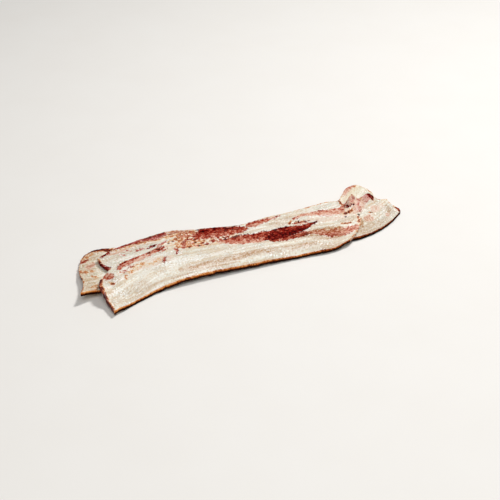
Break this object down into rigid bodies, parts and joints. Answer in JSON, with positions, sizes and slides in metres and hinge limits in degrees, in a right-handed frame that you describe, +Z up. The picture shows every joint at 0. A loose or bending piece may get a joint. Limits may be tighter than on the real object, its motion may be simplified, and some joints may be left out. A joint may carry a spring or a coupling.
{
  "type": "bacon slices",
  "caption": "Loosely fanned pile of long raw streaky bacon slices with brown rind, pale fat and dark lean streaks, draped over one another.",
  "frame": {"origin": "centre of the bounding box at the surface that the slices lie on", "axes": "+X along the slices, +Y across them from the rind edge to the lean edge, +Z up through the pile"},
  "size_m": [0.2842, 0.089, 0.0117],
  "materials": {
    "slice_bottom": "raw pork: pale fat with pink-red lean streaks and a brown rind, moist and slightly glossy",
    "slice_middle": "raw pork: pale fat with pink-red lean streaks, a brown rind and an orange-brown smoked lean edge, moist and slightly glossy",
    "slice_top": "raw pork: pale fat with dark red lean streaks and a brown rind, moist and slightly glossy"
  },
  "bodies": {
    "root": {"slice_bottom": "slice_bottom", "slice_middle": "slice_middle", "slice_top": "slice_top"}
  },
  "joints": []
}
